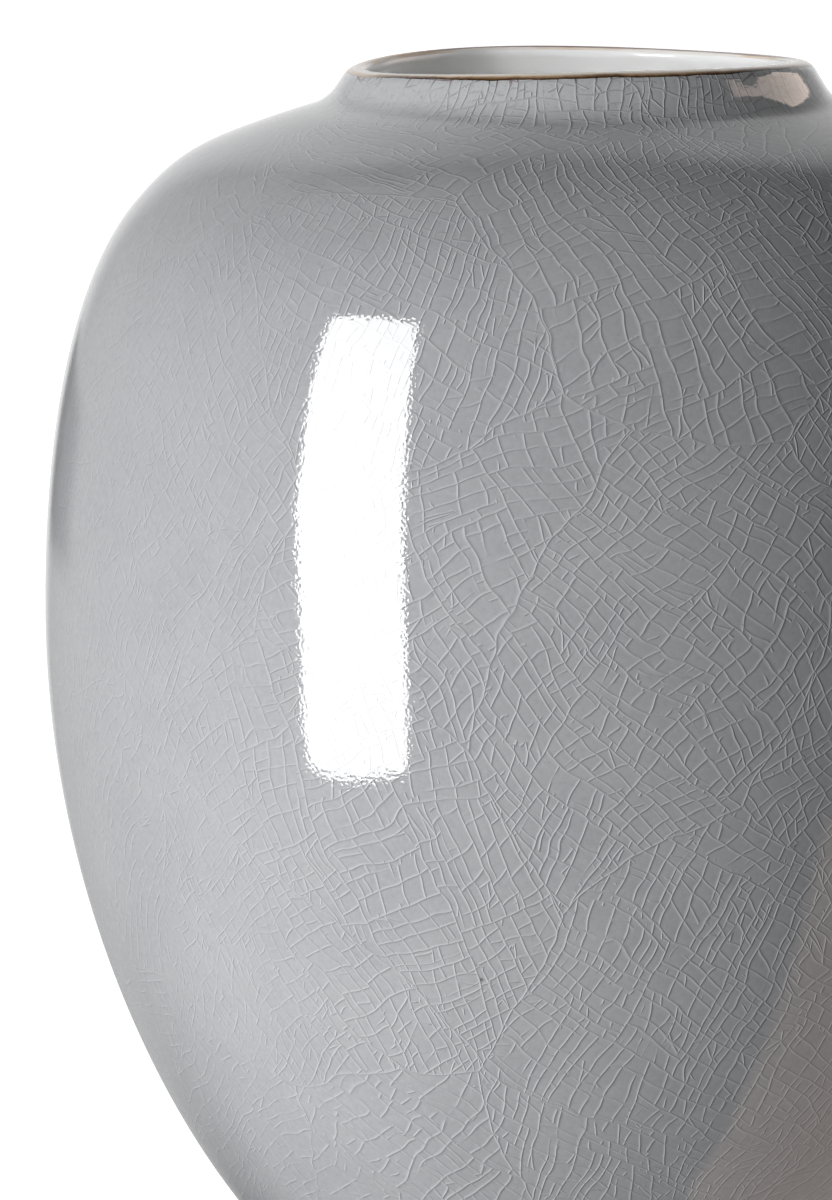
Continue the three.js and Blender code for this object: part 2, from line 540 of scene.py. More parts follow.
def cells(tree, place, size, feature="F1"):
    node = tree.nodes.new("ShaderNodeTexVoronoi")
    node.feature = feature
    plug(tree, node.inputs["Vector"], place)
    node.inputs["Scale"].default_value = 1 / size
    return node


def stripes(tree, place, feature):
    """Cells along one line, whose mean width is 1."""
    node = tree.nodes.new("ShaderNodeTexVoronoi")
    node.voronoi_dimensions = "1D"
    node.feature = feature
    plug(tree, node.inputs["W"], place)
    node.inputs["Scale"].default_value = 1.0
    node.inputs["Randomness"].default_value = craze_even
    return node


def split(tree, colour):
    node = tree.nodes.new("ShaderNodeSeparateColor")
    plug(tree, node.inputs["Color"], colour)
    return node.outputs["Red"], node.outputs["Green"], node.outputs["Blue"]


def bumped(tree, height, distance):
    node = tree.nodes.new("ShaderNodeBump")
    node.inputs["Strength"].default_value = 1.0
    node.inputs["Distance"].default_value = distance
    plug(tree, node.inputs["Height"], height)
    return node.outputs["Normal"]


def rgb(red, green, blue):
    """A colour written as it looks, from 0 to 255, as the shader wants it."""
    def linear(value):
        value = value / 255
        return value / 12.92 if value <= 0.04045 else ((value + 0.055) / 1.055) ** 2.4
    return (linear(red), linear(green), linear(blue), 1.0)


# Craze of the grey glaze, in metres. It lies in patches that drift slowly from one direction to another.
craze_patch = 0.120
craze_drift = 0.22
craze_turn = 2.6
craze_turn_start = -0.55

# Each set of cracks: mean spacing, how far its direction may turn, and how far chance shifts it
craze_sets = {
    "row": (0.034, 0.0, 57.0),
    "block": (0.038, 0.15, 41.0),
    "sheaf": (0.0155, 0.14, 91.0),
    "strip": (0.0063, 0.12, 43.0),
    "rung": (0.0093, 0.34, 95.0),
    "cross": (0.0106, 0.55, 73.0),
    "split": (0.0063, 0.60, 33.0),
}
craze_even = 0.75
craze_clear = 0.0030
craze_clear_start = 0.0021
craze_turned_above = 0.5
craze_split_share = 0.14

# Bends of the cracks: size of each noise and how far it carries them
craze_sways = [(0.085, 0.022), (0.028, 0.0084), (0.0080, 0.0021)]

# Ridge of a crack
craze_width = 0.00125
craze_sharpness = 3.0
craze_height = 0.00017

# Weak stretches: size and detail of the noise, then its low and high value and the strength at each
craze_weak = (0.016, 1.0)
craze_weak_long = (0.26, 0.38, 0.68, 1.0)
craze_weak_short = (0.72, 0.62, 0.60, 1.0)

# Collar, where all long cracks run down from the lip to a wavy border
collar_radius = 0.100
collar_reach = 0.032
collar_border = (0.011, 0.0)
collar_border_wave = 0.017


def ridge(tree, distance):
    return remapped(tree, distance, 0.0, craze_width, 1.0, 0.0, "LINEAR")


def centred(tree, colour, reach):
    """A noise colour as a vector about zero."""
    return scaled(tree, vector_maths(tree, "SUBTRACT", colour, (0.5, 0.5, 0.5)), reach)


def craze_set(tree, name, along, across, lean_chance, shift_chance):
    """A set of cracks: the distance to the nearest one, each gap's chances, and the direction across."""
    spacing, lean, shift = craze_sets[name]
    slope = maths(tree, "MULTIPLY_ADD", lean_chance, 2 * lean, -lean)
    way = maths(tree, "MULTIPLY_ADD", across, slope, along)
    shifted = maths(tree, "MULTIPLY", shift_chance, shift)
    place = maths(tree, "ADD", maths(tree, "DIVIDE", way, spacing), shifted)
    gap = stripes(tree, place, "F1")
    edge = stripes(tree, place, "DISTANCE_TO_EDGE")
    to_crack = maths(tree, "MULTIPLY", edge.outputs["Distance"], spacing)
    return to_crack, split(tree, gap.outputs["Color"]), way


def kept_clear(tree, line, distance):
    """A line, left out where it would run too near another one."""
    return maths(tree, "MULTIPLY", line, remapped(tree, distance, craze_clear_start, craze_clear))


def round_way(tree, place):
    """The direction round the vase at a place, level and of length 1."""
    return vector_maths(tree, "NORMALIZE", vector_maths(tree, "CROSS_PRODUCT", (0.0, 0.0, 1.0), place))


def craze_net(tree, a, b, chances, on_collar):
    """Blocks of long cracks with shorter ones across them. Long cracks cross either a or b in a block.

    On the collar they all cross a, so they run down from the lip."""
    to_row, row = craze_set(tree, "row", a, b, chances[0], chances[2])[:2]
    to_end, block = craze_set(tree, "block", b, a, row[1], row[0])[:2]
    turn_chance = maths(tree, "SUBTRACT", block[0], on_collar)
    turned = maths(tree, "GREATER_THAN", turn_chance, craze_turned_above)
    along = either(tree, turned, a, b)
    across = either(tree, turned, b, a)
    to_side = either(tree, turned, to_row, to_end)
    to_tip = either(tree, turned, to_end, to_row)

    to_sheaf, sheaf, sheaf_way = craze_set(tree, "sheaf", along, across, block[1], block[2])
    to_strip, strip = craze_set(tree, "strip", sheaf_way, across, sheaf[1], sheaf[0])[:2]
    to_rung, rung = craze_set(tree, "rung", across, along, sheaf[2], sheaf[0])[:2]
    to_cross, cross = craze_set(tree, "cross", across, along, strip[2], strip[0])[:2]
    to_split = craze_set(tree, "split", along, across, rung[2], rung[1])[0]

    blocks = ridge(tree, maths(tree, "MINIMUM", to_row, to_end))
    sheaves = kept_clear(tree, ridge(tree, to_sheaf), to_side)
    strips = kept_clear(tree, ridge(tree, to_strip), maths(tree, "MINIMUM", to_side, to_sheaf))
    rungs = kept_clear(tree, ridge(tree, to_rung), to_tip)
    crosses = kept_clear(tree, ridge(tree, to_cross), maths(tree, "MINIMUM", to_tip, to_rung))
    is_split = maths(tree, "LESS_THAN", cross[0], craze_split_share)
    splits = maths(tree, "MULTIPLY", ridge(tree, to_split), is_split)
    longs = maths(tree, "MAXIMUM", sheaves, strips)
    shorts = maths(tree, "MAXIMUM", rungs, crosses)
    return blocks, longs, shorts, splits


def craze_lines(tree, place, run):
    """Fine cracks in the glaze, in patches that each lie in a direction of their own."""
    sway = (0.0, 0.0, 0.0)
    for size, reach in craze_sways:
        more = centred(tree, noise(tree, place, size, 0.0, 0.5, "Color"), reach)
        sway = vector_maths(tree, "ADD", sway, more)
    bent = vector_maths(tree, "ADD", place, sway)
    sway_parts = parts_of(tree, sway)
    bent_run = maths(tree, "ADD", run, sway_parts["Z"])

    patch = cells(tree, bent, craze_patch)
    patch_edge = cells(tree, bent, craze_patch, "DISTANCE_TO_EDGE")
    to_patch = maths(tree, "MULTIPLY", patch_edge.outputs["Distance"], craze_patch)
    chances = split(tree, patch.outputs["Color"])
    heart = patch.outputs["Position"]

    drift = noise(tree, heart, craze_drift, 0.0)
    turn = maths(tree, "MULTIPLY_ADD", drift, craze_turn, craze_turn_start)
    cosine = maths(tree, "COSINE", turn)
    sine = maths(tree, "SINE", turn)
    from_heart = vector_maths(tree, "SUBTRACT", bent, heart)
    across = vector_maths(tree, "DOT_PRODUCT", from_heart, round_way(tree, place))
    a = maths(tree, "ADD", maths(tree, "MULTIPLY", across, cosine),
              maths(tree, "MULTIPLY", bent_run, sine))
    b = maths(tree, "SUBTRACT", maths(tree, "MULTIPLY", bent_run, cosine),
              maths(tree, "MULTIPLY", across, sine))

    parts = parts_of(tree, place)
    bearing = maths(tree, "ARCTAN2", parts["X"], maths(tree, "MULTIPLY", parts["Y"], -1.0))
    round_collar = maths(tree, "MULTIPLY_ADD", bearing, collar_radius, sway_parts["X"])
    border = noise(tree, place, *collar_border)
    collar_foot = maths(tree, "MULTIPLY_ADD", border, 2 * collar_border_wave,
                        crest_run - collar_reach - collar_border_wave)
    past_foot = maths(tree, "SUBTRACT", run, collar_foot)
    on_collar = maths(tree, "GREATER_THAN", past_foot, 0.0)
    a = either(tree, on_collar, a, round_collar)
    b = either(tree, on_collar, b, bent_run)
    blocks, longs, shorts, splits = craze_net(tree, a, b, chances, on_collar)

    weak = noise(tree, place, *craze_weak)
    longs = maths(tree, "MULTIPLY", longs, remapped(tree, weak, *craze_weak_long))
    shorts = maths(tree, "MULTIPLY", shorts, remapped(tree, weak, *craze_weak_short))
    border_line = ridge(tree, maths(tree, "ABSOLUTE", past_foot))
    lines = highest(tree, ridge(tree, to_patch), border_line, blocks, longs, shorts, splits)
    return maths(tree, "POWER", lines, craze_sharpness)


def painted_light_side(tree, ridged, place):
    """Painted light and shade, as if lit from one fixed side round the vase: above zero on one flank of
    each ridge and below zero on the other, all round the vase.
    """
    flat = tree.nodes.new("ShaderNodeNewGeometry").outputs["Normal"]
    lean = vector_maths(tree, "SUBTRACT", ridged, flat)
    towards = vector_maths(tree, "SUBTRACT", (0.0, 0.0, painted_light_rise), round_way(tree, place))
    return vector_maths(tree, "DOT_PRODUCT", lean, towards)


# A noise is (size in metres, detail, roughness). A fade is (start, end), then the strength at each.

glaze_ior = 1.5
under_glaze_roughness = 0.6
peel = (0.0012, 0.0, 0.5)
peel_height = 0.0000240
slow_waves = (0.030, 1.0, 0.5)
slow_wave_height = 0.000050


def set_gloss(shader, roughness):
    shader.inputs["Roughness"].default_value = under_glaze_roughness
    shader.inputs["Specular IOR Level"].default_value = 0.0
    shader.inputs["Coat Weight"].default_value = 1.0
    shader.inputs["Coat Roughness"].default_value = roughness
    shader.inputs["Coat IOR"].default_value = glaze_ior


def poured_surface(tree, place):
    """Normal of the glaze's own surface: fine orange peel over slow waves."""
    peeled = maths(tree, "MULTIPLY", noise(tree, place, *peel), peel_height)
    height = maths(tree, "MULTIPLY_ADD", noise(tree, place, *slow_waves), slow_wave_height, peeled)
    return bumped(tree, height, 1.0)


grey_deep = rgb(173, 174, 176)
grey_thin = rgb(178, 178, 180)
grey_by_lip = rgb(206, 206, 207)
grain_pale = rgb(188, 190, 193)
grain_dark = rgb(158, 160, 164)
line_pale = rgb(205, 206, 208)
painted_lit_flank = rgb(216, 217, 219)
painted_shaded_flank = rgb(122, 124, 128)
purple_stain = rgb(118, 84, 92)
speck_dark = rgb(80, 78, 76)

grey_gloss = 0.03
grey_tone = (0.05, 3.0, 0.6)
grey_tone_fade = (0.35, 0.65)
grey_grain = (0.0022, 3.0, 0.75)
grain_pale_fade = (0.50, 0.72, 0.0, 0.42)
grain_dark_fade = (0.50, 0.28, 0.0, 0.42)
by_lip_start = 0.045
by_lip_end = 0.012

# Craze on the vase's left, where it is fainter and broken. The side is 0 at the front and 1 at the left.
left_fade = (0.42, 0.68)
left_patches = (0.0075, 1.0)
left_patch_fade = (0.42, 0.60, 0.30, 1.0)
line_tint = 0.12
# Painted light and shade on the ridges' flanks, lit from one side round the vase and a little from
# above, and weaker on the left
painted_light_rise = 0.45
painted_light_gain_fade = (0.30, 0.66, 1.45, 1.05)
painted_lit_flank_strength = 1.5
painted_shaded_flank_strength = 1.45

# Purple ends of the cracks below the brown wash, and one dark speck low on the front
stain_noise = (0.014, 1.0)
stain_reach_fade = (0.40, 0.62, 0.0002, 0.0048)
stain_on_line = (0.1, 0.7, 0.0, 0.75)
speck_place = (-0.0347, -0.1917, 0.1735)
speck_outline = (0.0012, 1.0)
speck_outline_reach = 0.0012
speck_fade = (-0.0001, 0.0004, 0.65, 0.0)


def grey_glaze():
    """Pale grey glaze. Each craze line is a fine ridge, with painted light on one flank and painted
    shade on the other.
    """
    material, tree, shader = new_material("grey crackle glaze")
    place = object_place(tree)
    run = attribute(tree, "wall_run")
    tone_share = remapped(tree, noise(tree, place, *grey_tone), *grey_tone_fade)
    colour = mixed(tree, tone_share, grey_deep, grey_thin)
    by_lip = remapped(tree, run, crest_run - by_lip_start, crest_run - by_lip_end)
    colour = mixed(tree, by_lip, colour, grey_by_lip)
    grain = noise(tree, place, *grey_grain)
    colour = mixed(tree, remapped(tree, grain, *grain_pale_fade), colour, grain_pale)
    colour = mixed(tree, remapped(tree, grain, *grain_dark_fade), colour, grain_dark)

    lines = craze_lines(tree, place, run)
    left_side = vector_maths(tree, "DOT_PRODUCT", round_way(tree, place), (0.0, -1.0, 0.0))
    faint = remapped(tree, noise(tree, place, *left_patches), *left_patch_fade)
    faint = either(tree, remapped(tree, left_side, *left_fade), 1.0, faint)
    shown_lines = maths(tree, "MULTIPLY", lines, faint)
    ridged = bumped(tree, shown_lines, craze_height)
    colour = mixed(tree, maths(tree, "MULTIPLY", shown_lines, line_tint), colour, line_pale)
    # Painted light on one flank of each ridge and painted shade on the other
    painted_light_flank = maths(tree, "MULTIPLY", painted_light_side(tree, ridged, place),
                  remapped(tree, left_side, *painted_light_gain_fade))
    colour = mixed(tree, maths(tree, "MULTIPLY", painted_light_flank, painted_lit_flank_strength), colour, painted_lit_flank)
    colour = mixed(tree, maths(tree, "MULTIPLY", painted_light_flank, -painted_shaded_flank_strength), colour, painted_shaded_flank)

    stain_reach = remapped(tree, noise(tree, place, *stain_noise), *stain_reach_fade)
    below_wash = maths(tree, "SUBTRACT", crest_run - wash_outside, run)
    stained = remapped(tree, below_wash, 0.0, stain_reach, 1.0, 0.0)
    stained = maths(tree, "MULTIPLY", stained, remapped(tree, lines, *stain_on_line))
    colour = mixed(tree, stained, colour, purple_stain)
    ragged = noise(tree, place, *speck_outline)
    to_speck = vector_maths(tree, "DISTANCE", place, speck_place)
    to_speck = maths(tree, "MULTIPLY_ADD", ragged, -speck_outline_reach, to_speck)
    colour = mixed(tree, remapped(tree, to_speck, *speck_fade), colour, speck_dark)
    plug(tree, shader.inputs["Base Color"], colour)
    plug(tree, shader.inputs["Normal"], ridged)
    plug(tree, shader.inputs["Coat Normal"], poured_surface(tree, place))
    set_gloss(shader, grey_gloss)
    return material


wash_cream = rgb(240, 226, 208)
painted_light_cream = rgb(240, 233, 226)
wash_tan = rgb(210, 172, 128)
wash_brown = rgb(146, 112, 78)
wash_iron = rgb(62, 41, 20)
crest_brown = rgb(150, 114, 84)
inside_cream = rgb(236, 231, 225)
inside_tan = rgb(220, 192, 164)
rim_line_dark = rgb(120, 96, 90)
rim_line_tan = rgb(208, 168, 128)

wash_gloss = 0.12
wash_clouds = (0.030, 2.0, 0.5)
wash_mottle = (0.004, 3.0, 0.6)
wash_mottle_reach = 0.0006

# Bands of the wash, as lengths along the wall from its lower edge. The iron band's width wanders, and
# the brown band fades out between two shares of that width.
iron_start = 0.0001
iron_width_fade = (0.35, 0.65, 0.0014, 0.0025)
brown_start = 0.4
brown_end = 1.8
tan_fade = (0.0010, 0.0032, 1.0, 0.0)

# Painted light on the left end of the lip, where X falls: it is paler, with less of each band
painted_light_end_fade = (-0.070, -0.083)
painted_light_end_tan = 0.75
painted_light_end_dark = 0.10

# Brown line on the crest, and the paler side inside it
crest_line_run = crest_run - 0.0005
crest_line_fade = (0.0003, 0.0013, 0.60, 0.0)
inside_fade = (crest_run + 0.0003, crest_run + 0.0014)
inside_tan_fade = (0.50, 0.66, 0.0, 0.6)

# Dark line on the inner side of the lip behind, where Y rises. Further left it is tan.
behind_fade = (-0.03, 0.03)
rim_line_run = crest_run + 0.0004
rim_line_wander = 0.0016
rim_line_fade = (0.0, 0.0009, 0.80, 0.0)
rim_line_tan_fade = (-0.052, -0.072)


def brown_wash():
    """Iron wash: dark where it meets the grey glaze, tan above, cream over the crest."""
    material, tree, shader = new_material("brown lip wash")
    place = object_place(tree)
    parts = parts_of(tree, place)
    run = attribute(tree, "wall_run")
    clouds = noise(tree, place, *wash_clouds)
    mottle = maths(tree, "MULTIPLY_ADD", noise(tree, place, *wash_mottle), 2 * wash_mottle_reach,
                   -wash_mottle_reach)
    from_edge = maths(tree, "ADD", maths(tree, "SUBTRACT", run, crest_run - wash_outside), mottle)

    # Painted light on the left end of the lip: paler cream, and less tan and brown
    painted_light_end = remapped(tree, parts["X"], *painted_light_end_fade)
    tan_under_painted_light = either(tree, painted_light_end, 1.0, painted_light_end_tan)
    dark_under_painted_light = either(tree, painted_light_end, 1.0, painted_light_end_dark)
    iron_width = remapped(tree, clouds, *iron_width_fade)
    iron_share = remapped(tree, from_edge, iron_start, iron_width, 1.0, 0.0)
    brown_share = remapped(tree, from_edge, maths(tree, "MULTIPLY", iron_width, brown_start),
                           maths(tree, "MULTIPLY", iron_width, brown_end), 1.0, 0.0)
    tan_share = remapped(tree, from_edge, *tan_fade)
    colour = mixed(tree, painted_light_end, wash_cream, painted_light_cream)
    colour = mixed(tree, maths(tree, "MULTIPLY", tan_share, tan_under_painted_light), colour, wash_tan)
    colour = mixed(tree, maths(tree, "MULTIPLY", brown_share, dark_under_painted_light), colour, wash_brown)
    colour = mixed(tree, maths(tree, "MULTIPLY", iron_share, dark_under_painted_light), colour, wash_iron)

    from_crest = maths(tree, "ABSOLUTE", maths(tree, "SUBTRACT", run, crest_line_run))
    colour = mixed(tree, remapped(tree, from_crest, *crest_line_fade), colour, crest_brown)
    inside = mixed(tree, remapped(tree, clouds, *inside_tan_fade), inside_cream, inside_tan)
    colour = mixed(tree, remapped(tree, run, *inside_fade), colour, inside)

    rim_line_edge = maths(tree, "MULTIPLY_ADD", clouds, rim_line_wander, rim_line_run)
    rim_line = remapped(tree, maths(tree, "SUBTRACT", run, rim_line_edge), *rim_line_fade)
    rim_line = maths(tree, "MULTIPLY", remapped(tree, parts["Y"], *behind_fade), rim_line)
    rim_line_colour = mixed(tree, remapped(tree, parts["X"], *rim_line_tan_fade), rim_line_dark, rim_line_tan)
    colour = mixed(tree, rim_line, colour, rim_line_colour)
    plug(tree, shader.inputs["Base Color"], colour)
    plug(tree, shader.inputs["Coat Normal"], poured_surface(tree, place))
    set_gloss(shader, wash_gloss)
    return material


white_deep = rgb(237, 237, 236)
white_thin = rgb(240, 240, 239)
white_tone = (0.04, 3.0, 0.6)
white_tone_fade = (0.35, 0.65)
white_gloss = 0.06


def white_glaze():
    material, tree, shader = new_material("off white glaze")
    place = object_place(tree)
    tone_share = remapped(tree, noise(tree, place, *white_tone), *white_tone_fade)
    plug(tree, shader.inputs["Base Color"], mixed(tree, tone_share, white_deep, white_thin))
    plug(tree, shader.inputs["Coat Normal"], poured_surface(tree, place))
    set_gloss(shader, white_gloss)
    return material


clay_dark = rgb(196, 178, 150)
clay_light = rgb(208, 192, 166)
clay_speck = rgb(120, 96, 70)
clay_grain = (0.0012, 4.0, 0.7)
clay_grain_fade = (0.3, 0.7)
clay_grain_height = 0.00015
clay_speck_size = 0.004
clay_speck_fade = (0.06, 0.12, 0.6, 0.0)
clay_roughness = 0.85


def bare_clay():
    material, tree, shader = new_material("bare stoneware")
    place = object_place(tree)
    grain = noise(tree, place, *clay_grain)
    from_speck = cells(tree, place, clay_speck_size).outputs["Distance"]
    colour = mixed(tree, remapped(tree, grain, *clay_grain_fade), clay_dark, clay_light)
    colour = mixed(tree, remapped(tree, from_speck, *clay_speck_fade), colour, clay_speck)
    plug(tree, shader.inputs["Base Color"], colour)
    plug(tree, shader.inputs["Normal"], bumped(tree, grain, clay_grain_height))
    shader.inputs["Roughness"].default_value = clay_roughness
    return material


felt_dark = rgb(92, 88, 83)
felt_light = rgb(128, 123, 116)
felt_fibres = (0.0006, 5.0, 0.75)
felt_fibre_fade = (0.3, 0.7)
felt_fibre_height = 0.0003
felt_roughness = 0.95


def grey_felt():
    material, tree, shader = new_material("grey felt")
    fibres = noise(tree, object_place(tree), *felt_fibres)
    colour = mixed(tree, remapped(tree, fibres, *felt_fibre_fade), felt_dark, felt_light)
    plug(tree, shader.inputs["Base Color"], colour)
    plug(tree, shader.inputs["Normal"], bumped(tree, fibres, felt_fibre_height))
    shader.inputs["Roughness"].default_value = felt_roughness
    return material


def wear(piece, material):
    piece.data.materials.clear()
    piece.data.materials.append(material)


# Pieces

glaze_finish = grey_glaze()
wash_finish = brown_wash()
liner_finish = white_glaze()
clay_finish = bare_clay()
felt_finish = grey_felt()


def fit(piece, finish, node):
    wear(piece, finish)
    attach(piece, "root")
    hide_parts(node)


fit(make_glaze(), glaze_finish, "crackle_glaze")
fit(make_wash(), wash_finish, "lip_wash")
fit(make_liner(), liner_finish, "liner_glaze")
fit(make_ring(), clay_finish, "foot_ring")
fit(make_base(), liner_finish, "base_glaze")
for number in range(1, 5):
    fit(make_pad(number), felt_finish, f"felt_pad_{number}")

for name in ("lower_body", "upper_body", "neck_collar"):
    wear(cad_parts[name], clay_finish)


# Studio. Bearings turn from the camera's side towards the right, and a rise is above level.

floor_radius = 30.0
floor_sides = 96
floor_grey = 0.80
# The floor's glow is lower by the foot, as painted shade, and rises to white further out
floor_glow_in_painted_shade = 0.45
floor_near = 0.88
floor_near_reach = (0.085, 0.23)
floor_far_reach = (0.5, 2.6)

# Backdrop: how its light spreads to the sides and upwards, and what the glaze mirrors of it
backdrop_way = (-0.25, 0.968, 0.0)
backdrop_spread = (0.30, 0.95)
backdrop_top_fade = (0.62, 0.78, 1.0, 0.10)
backdrop_bright = 1.00
mirrored_spread = (0.88, 0.98)
mirrored_middle = 0.95
mirrored_sides = 0.50
mirrored_dark = 0.08
world_fill = 0.015

white = (1.0, 1.0, 1.0, 1.0)

softbox_distance = 0.80
softbox_bearing = math.radians(-44.1)
softbox_centre = 0.408
softbox_turn = math.radians(-30.2)
softbox_lean = math.radians(10.2)
softbox_radiance = 16.5
softbox_ends = 0.88
softbox_outline = [
    (-0.161, 0.410), (-0.163, 0.340), (-0.156, 0.270), (-0.160, 0.172), (-0.155, 0.090),
    (-0.164, 0.000), (-0.159, -0.091), (-0.151, -0.168), (-0.152, -0.238), (-0.165, -0.330),
    (-0.167, -0.392), (-0.107, -0.405), (-0.019, -0.404), (0.081, -0.391), (0.142, -0.381),
    (0.169, -0.361), (0.180, -0.248), (0.177, -0.172), (0.172, -0.097), (0.165, 0.011),
    (0.161, 0.108), (0.151, 0.206), (0.142, 0.306), (0.128, 0.396), (0.039, 0.408), (-0.060, 0.412),
]

# Dark card on the left, and warm surfaces that the neck and the lower right side mirror
dark_card_bearing = math.radians(-144)
dark_card_rise = math.radians(-3.2)
dark_card_distance = 1.5
dark_card_height = 0.33
dark_card_size = (0.78, 0.28)
dark_card_strength = 0.06
dark_card_soft_width = 0.22
dark_card_soft_height = 0.06

# The wall stands on the right, and its outline is (along y, height)
warm_wall_place = Vector((0.8, 0.0, 0.0))
warm_wall_strength = 2.7
warm_wall_colour = (1.0, 0.82, 0.72, 1.0)
warm_wall_outline = [
    (0.03, 0.30), (0.03, 1.17), (-0.04, 1.115), (-0.095, 1.08), (-0.155, 1.055), (-0.21, 1.035),
    (-0.34, 1.075), (-0.495, 1.125), (-0.72, 1.21), (-0.95, 1.33), (-0.95, 0.30),
]
warm_table_place = Vector((0.0, 0.0, 0.004))
warm_table_strength = 1.0
warm_table_colour = (1.0, 0.72, 0.56, 1.0)
warm_table_outline = [(0.07, -0.170), (0.55, -0.490), (0.80, -0.05), (0.23, 0.07)]

key_bearing = math.radians(-46)
key_rise = math.radians(17)
key_distance = 1.9
key_size = (0.9, 0.5)
key_radiance = 17.7
key_colour = (0.975, 0.985, 1.0)

bounce_bearing = math.radians(-48)
bounce_distance = 0.6
bounce_height = 0.01
bounce_size = (0.7, 0.5)
bounce_radiance = 1.2

back_fill_bearing = math.radians(130)
back_fill_rise = math.radians(8)
back_fill_distance = 2.2
back_fill_size = (1.5, 1.0)
back_fill_radiance = 6.0

# Narrow lamps into the mouth: bearing and rise in degrees, reach at the mouth, energy, and how far
# the aim lies beyond the mouth's middle and below the lip
mouth_lamp_distance = 1.5
mouth_lamp_softness = 0.004
mouth_lamp_blend = 0.3
mouth_lamps = {
    "lamp_over_mouth": (0, 89, 0.068, 650, 0.0, 0.0),
    "lamp_over_lip": (0, 90, 0.0905, 38, 0.0, 0.0),
    "lamp_before_mouth": (-30, 14, 0.110, 2.1, 0.0, 0.0),
    "lamp_into_mouth": (-20, 25, 0.065, 19, 0.06, 0.008),
}


def way_out(bearing, rise):
    """The direction away from the vase at a bearing and a rise."""
    return Vector((
        math.sin(bearing) * math.cos(rise), -math.cos(bearing) * math.cos(rise), math.sin(rise)))


def from_vase(bearing, rise, distance, height):
    """A place out from the axis at a height, and the direction back to it."""
    outwards = way_out(bearing, rise)
    return Vector((0, 0, height)) + outwards * distance, -outwards


def backdrop_light(tree, towards, dark, bright):
    """Strength of the light from a direction: bright behind the vase, dark before it and above."""
    behind = vector_maths(tree, "DOT_PRODUCT", towards, backdrop_way)
    below_top = remapped(tree, parts_of(tree, towards)["Z"], *backdrop_top_fade)
    share = maths(tree, "MULTIPLY", remapped(tree, behind, *backdrop_spread), below_top)
    return either(tree, share, dark, bright)


def mirrored_backdrop(tree, towards):
    """The backdrop as the glaze mirrors it, brightest straight behind the vase."""
    level = vector_maths(tree, "NORMALIZE", vector_maths(tree, "MULTIPLY", towards, (1.0, 1.0, 0.0)))
    behind = vector_maths(tree, "DOT_PRODUCT", level, (0.0, 1.0, 0.0))
    return remapped(tree, behind, *mirrored_spread, mirrored_sides, mirrored_middle)


def studio_material(name):
    """A material that holds only its output, for the floor and the cards."""
    material = bpy.data.materials.new(name)
    material.use_nodes = True
    tree = material.node_tree
    tree.nodes.clear()
    out = tree.nodes.new("ShaderNodeOutputMaterial")
    return material, tree, out.inputs["Surface"]


def mixed_shaders(tree, share, first, second):
    node = tree.nodes.new("ShaderNodeMixShader")
    plug(tree, node.inputs[0], share)
    plug(tree, node.inputs[1], first)
    plug(tree, node.inputs[2], second)
    return node.outputs[0]


def make_floor():
    """Pale floor that takes shadows, with painted shade round the foot. The glaze mirrors the backdrop
    in it.
    """
    bm = bmesh.new()
    bmesh.ops.create_circle(bm, cap_ends=True, segments=floor_sides, radius=floor_radius)
    floor = new_piece("studio_floor", bm)
    material, tree, surface = studio_material("pale floor")
    paint = tree.nodes.new("ShaderNodeBsdfDiffuse")
    paint.inputs["Color"].default_value = (floor_grey, floor_grey, floor_grey, 1.0)
    glow = tree.nodes.new("ShaderNodeEmission")
    place = object_place(tree)
    away = vector_maths(tree, "LENGTH", place)
    # Painted shade round the foot: the floor glows less there
    near = remapped(tree, away, *floor_near_reach, floor_glow_in_painted_shade, floor_near)
    far = remapped(tree, away, *floor_far_reach, 0.0, 1.0 - floor_near)
    towards = vector_maths(tree, "NORMALIZE", place)
    mirrored = backdrop_light(tree, towards, mirrored_dark, mirrored_backdrop(tree, towards))
    path = tree.nodes.new("ShaderNodeLightPath").outputs
    shown = maths(tree, "ADD", near, far)
    plug(tree, glow.inputs["Strength"], either(tree, path["Is Glossy Ray"], shown, mirrored))
    seen = highest(tree, path["Is Camera Ray"], path["Is Glossy Ray"], path["Is Transmission Ray"])
    both = tree.nodes.new("ShaderNodeAddShader")
    plug(tree, both.inputs[0], paint.outputs[0])
    plug(tree, both.inputs[1], glow.outputs[0])
    lit = mixed_shaders(tree, seen, paint.outputs[0], both.outputs[0])
    plug(tree, surface, mixed_shaders(tree, path["Is Glossy Ray"], lit, glow.outputs[0]))
    wear(floor, material)


def make_world():
    """White for the camera. For all else, a bright backdrop behind the vase in a dark room."""
    world = bpy.data.worlds.new("studio")
    bpy.context.scene.world = world
    world.use_nodes = True
    tree = world.node_tree
    tree.nodes.clear()
    out = tree.nodes.new("ShaderNodeOutputWorld")
    path = tree.nodes.new("ShaderNodeLightPath").outputs
    towards = tree.nodes.new("ShaderNodeTexCoord").outputs["Generated"]
    mirrored = path["Is Glossy Ray"]
    dark = either(tree, mirrored, world_fill, mirrored_dark)
    bright = either(tree, mirrored, backdrop_bright, mirrored_backdrop(tree, towards))
    seen = maths(tree, "MAXIMUM", path["Is Camera Ray"], path["Is Transmission Ray"])
    strength = either(tree, seen, backdrop_light(tree, towards, dark, bright), 1.0)
    back = tree.nodes.new("ShaderNodeBackground")
    back.inputs["Color"].default_value = white
    plug(tree, back.inputs["Strength"], strength)
    plug(tree, out.inputs["Surface"], back.outputs[0])


